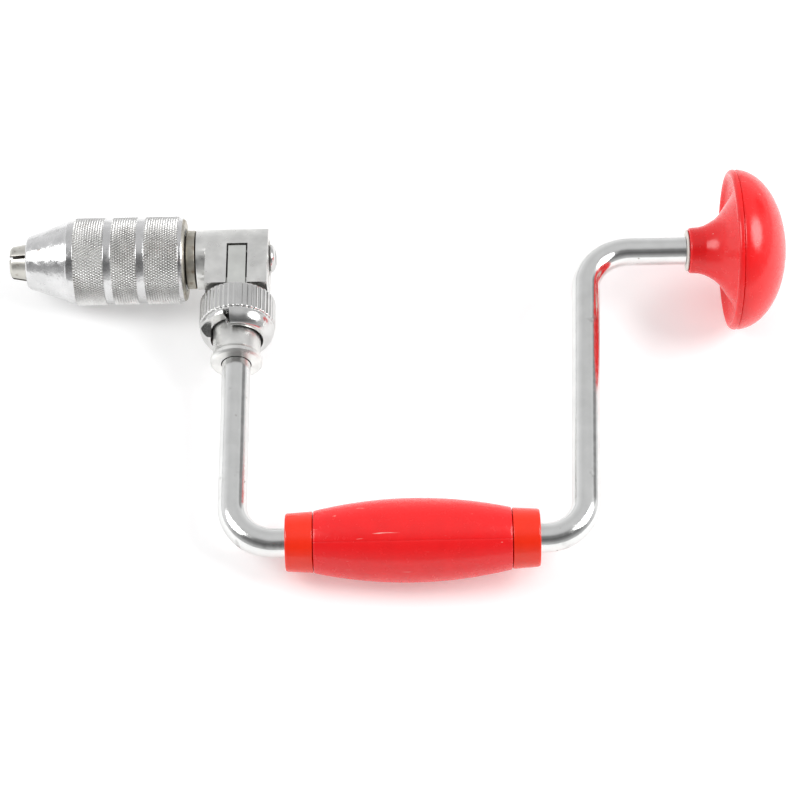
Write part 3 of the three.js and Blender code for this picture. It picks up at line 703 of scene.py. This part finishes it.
def grip_shell(name, start):
    """Half of the barrel grip, from start round to the other seam, with a lip in each collar."""
    seam = math.degrees(GRIP_SEAM / GRIP_MAX_R)

    def barrel(half, shrink, steps=36):
        points = []
        for k in range(-steps, steps + 1):
            t = k / steps
            points.append((half * t, GRIP_MAX_R - (GRIP_MAX_R - GRIP_END_R) * t * t - shrink))
        return points

    outside = [(-GRIP_HALF - 5, 9.2), (-GRIP_HALF, 9.2), *barrel(GRIP_HALF, 0),
               (GRIP_HALF, 9.2), (GRIP_HALF + 5, 9.2)]
    inside = [(GRIP_HALF + 5, GRIP_BORE_R), (GRIP_HALF - 5, GRIP_BORE_R),
              *reversed(barrel(GRIP_HALF - 5, GRIP_WALL)),
              (-GRIP_HALF + 5, GRIP_BORE_R), (-GRIP_HALF - 5, GRIP_BORE_R)]
    shell = turned(name, "x", eased(outside + inside, 0.5), 64,
                   arc=(start + seam, start + 180 - seam))
    return softened(shell, 0.06, 2, 60)


piece(grip_shell("grip shell inner", -90), "grip", ["grip_shell_inner"], RED,
      at=GRIP_AT)
piece(grip_shell("grip shell outer", 90), "grip", ["grip_shell_outer"], RED,
      at=GRIP_AT)


def grip_collar(name, side):
    inner = GRIP_HALF + 0.3
    outer = inner + COLLAR_LENGTH
    outline = [
        (inner, 9.5), (inner, 11.85), (inner + 0.3, 12.1), (outer - 0.8, 11.5), (outer, 11.2),
        (outer, 10.2), (outer - 0.5, 9.9), (outer - 0.5, GRIP_BORE_R),
        (inner + 5.3, GRIP_BORE_R), (inner + 5.3, 9.5),
    ]
    return turned(name, "x", eased([(side * x, r) for x, r in outline], 0.5), 128)


piece(grip_collar("grip collar right", 1), "grip", ["grip_collar_right"], ORANGE_RED,
      at=GRIP_AT)
piece(grip_collar("grip collar left", -1), "grip", ["grip_collar_left"], ORANGE_RED,
      at=GRIP_AT)


# ---- CAD nodes kept as they are -------------------------------------------------------------

KEPT = {
    "front_pawl": PAWL_STEEL, "rear_pawl": PAWL_STEEL,
    "housing_pin": WORKING_STEEL, "selector_stop_pin": WORKING_STEEL,
    "detent_ball": WORKING_STEEL, "spindle": WORKING_STEEL, "ratchet_wheel": WORKING_STEEL,
    "head_washer": WORKING_STEEL, "head_nut": WORKING_STEEL,
    "rear_spindle_bush": COLLAR_STEEL, "front_spindle_bush": COLLAR_STEEL,
    "sleeve_stop_ring": SPRING_WIRE,
}
for node, material in KEPT.items():
    obj = frame["nodes"][node]
    obj.data.materials.clear()
    obj.data.materials.append(material)
for node in ("front_pawl", "rear_pawl"):
    bevel = frame["nodes"][node].modifiers.new("soft edges", "BEVEL")
    bevel.width = 0.25 * MM
    bevel.segments = 2
    bevel.limit_method = "ANGLE"


# ---- floor, light and camera ----------------------------------------------------------------

bpy.ops.mesh.primitive_plane_add(size=6)
floor = bpy.context.object
floor.name = "floor"
paper = bpy.data.materials.new("white paper")
paper.use_nodes = True
paper_shader = paper.node_tree.nodes["Principled BSDF"]
paper_shader.inputs["Base Color"].default_value = (0.80, 0.80, 0.80, 1)
paper_shader.inputs["Emission Color"].default_value = (1, 1, 1, 1)
paper_shader.inputs["Emission Strength"].default_value = 0.32
paper_shader.inputs["Roughness"].default_value = 0.9
paper_shader.inputs["Specular IOR Level"].default_value = 0.1
floor.data.materials.append(paper)


def sky():
    """A pale back wall and ceiling, and a dim front where the camera stands."""
    world = bpy.data.worlds.new("studio")
    world.use_nodes = True
    scene.world = world
    tree = world.node_tree
    direction = tree.nodes.new("ShaderNodeTexCoord").outputs["Generated"]
    split = tree.nodes.new("ShaderNodeSeparateXYZ")
    tree.links.new(direction, split.inputs[0])

    def wall(*stops):
        """Grey values by height: 0 at the horizon, 1 overhead."""
        ramp = tree.nodes.new("ShaderNodeValToRGB")
        ramp.color_ramp.interpolation = "EASE"
        for position, value in stops[1:-1]:
            ramp.color_ramp.elements.new(position)
        for element, (position, value) in zip(ramp.color_ramp.elements, stops):
            element.position = position
            element.color = (value, value, value * 1.01, 1)
        tree.links.new(split.outputs["Z"], ramp.inputs["Fac"])
        return ramp.outputs["Color"]

    back = wall((0.0, 0.30), (0.06, 0.85), (0.25, 0.80), (0.5, 0.66), (0.78, 0.57), (0.92, 0.60),
                (1.0, 0.64))
    front = wall((0.0, 0.25), (0.05, 0.50), (0.2, 0.40), (0.45, 0.20), (0.62, 0.12), (0.85, 0.20),
                 (1.0, 0.60))
    blend = tree.nodes.new("ShaderNodeMapRange")
    blend.inputs["From Min"].default_value = -0.3
    blend.inputs["From Max"].default_value = 0.3
    tree.links.new(split.outputs["Y"], blend.inputs["Value"])
    mix = tree.nodes.new("ShaderNodeMix")
    mix.data_type = "RGBA"
    tree.links.new(blend.outputs["Result"], mix.inputs[0])
    tree.links.new(front, mix.inputs[6])
    tree.links.new(back, mix.inputs[7])
    # a dark stand beside the right softbox
    toward = tree.nodes.new("ShaderNodeVectorMath")
    toward.operation = "DOT_PRODUCT"
    toward.inputs[1].default_value = (0.76, 0.53, 0.38)
    tree.links.new(direction, toward.inputs[0])
    stand_mask = tree.nodes.new("ShaderNodeMapRange")
    for socket, number in zip(("From Min", "From Max", "To Max"), (0.965, 0.990, 0.75)):
        stand_mask.inputs[socket].default_value = number
    tree.links.new(toward.outputs["Value"], stand_mask.inputs["Value"])
    shaded = tree.nodes.new("ShaderNodeMix")
    shaded.data_type = "RGBA"
    shaded.inputs[7].default_value = (0.08, 0.08, 0.08, 1)
    tree.links.new(stand_mask.outputs["Result"], shaded.inputs[0])
    tree.links.new(mix.outputs[2], shaded.inputs[6])
    background = tree.nodes["Background"]
    background.inputs["Strength"].default_value = 1.13
    tree.links.new(shaded.outputs[2], background.inputs["Color"])


sky()


def softbox(name, place, size, power):
    """An oval light that faces the brace."""
    data = bpy.data.lights.new(name, "AREA")
    data.shape = "ELLIPSE"
    data.size, data.size_y = size
    data.energy = power
    light = bpy.data.objects.new(name, data)
    light.location = place
    light.rotation_euler = Vector(place).to_track_quat("Z", "Y").to_euler()
    scene.collection.objects.link(light)


softbox("left softbox", (-0.92, -0.08, 0.76), (0.66, 0.66), 6.5)
softbox("right softbox", (0.90, -0.10, 0.82), (0.74, 0.70), 9.5)

VIEW_FROM = Vector((68.42, -624.82, 814.89))  # in the brace's own axes
VIEW_TO = Vector((75, -70.4, 0))
VIEW_UP = Vector((0.01926, 0.82657, 0.5625))
SHIFT = (-0.022625, -0.010125)  # fractions of the picture's width
camera_data = bpy.data.cameras.new("camera")
camera_data.lens = 108
camera_data.shift_x = SHIFT[0]
camera_data.shift_y = SHIFT[1]
camera_data.clip_start = 0.05
camera = bpy.data.objects.new("camera", camera_data)
back = (VIEW_FROM - VIEW_TO).normalized()
right = VIEW_UP.cross(back).normalized()
tripod = Matrix((right, back.cross(right), back)).transposed().to_4x4()
tripod.translation = VIEW_FROM * MM
camera.matrix_world = HOME @ tripod
scene.collection.objects.link(camera)
scene.camera = camera
scene.view_settings.view_transform = "Standard"
